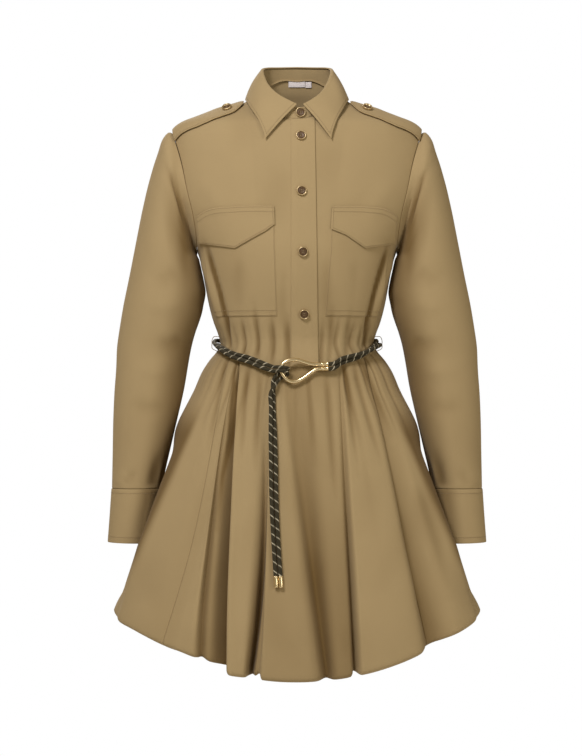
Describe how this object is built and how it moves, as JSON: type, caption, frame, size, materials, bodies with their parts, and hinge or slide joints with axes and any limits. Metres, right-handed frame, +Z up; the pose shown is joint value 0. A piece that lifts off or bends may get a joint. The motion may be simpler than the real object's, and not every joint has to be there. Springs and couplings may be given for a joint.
{
  "type": "shirt dress",
  "caption": "Long-sleeved cotton shirt dress with a pointed collar, flap pockets, shoulder straps, a gathered turned-under skirt and a rope belt with a drop-shaped hook.",
  "frame": {"origin": "between the shoulders, at the height where the shoulder seams meet the neck, on the dress's middle plane", "axes": "+Z up, -Y is the front of the dress, +X towards the wearer's left"},
  "size_m": [0.568, 0.3972, 0.9064],
  "materials": {
    "cotton": "matt plain-weave cotton, khaki",
    "label": "smooth woven tape, off-white",
    "button": "dark brown with a bronze rim",
    "cord": "braided cord, dark olive with cream flecks",
    "brass": "polished, light gold",
    "thread": "chained sewing thread"
  },
  "bodies": {
    "root": {"front_right": "cotton", "front_left": "cotton", "placket": "cotton", "back": "cotton", "collar_stand": "cotton", "collar_leaf": "cotton", "neck_label": "label", "size_tab": "label", "epaulette_right": "cotton", "epaulette_left": "cotton", "pocket_right": "cotton", "pocket_left": "cotton", "flap_right": "cotton", "flap_left": "cotton", "sleeve_right": "cotton", "sleeve_left": "cotton", "cuff_right": "cotton", "cuff_left": "cotton", "skirt_front": "cotton", "skirt_side_right": "cotton", "skirt_side_left": "cotton", "skirt_back": "cotton", "button_collar": "button", "button_1": "button", "button_2": "button", "button_3": "button", "button_4": "button", "epaulette_button_right": "button", "epaulette_button_left": "button", "belt_cord_upper": "cord", "belt_cord_lower": "cord", "hanging_cord_1": "cord", "hanging_cord_2": "cord", "cord_tip_1": "brass", "cord_tip_2": "brass", "buckle": "brass", "ferrule_upper": "brass", "ferrule_lower": "brass", "carrier_loop_right": "thread", "carrier_loop_left": "thread"}
  },
  "joints": []
}
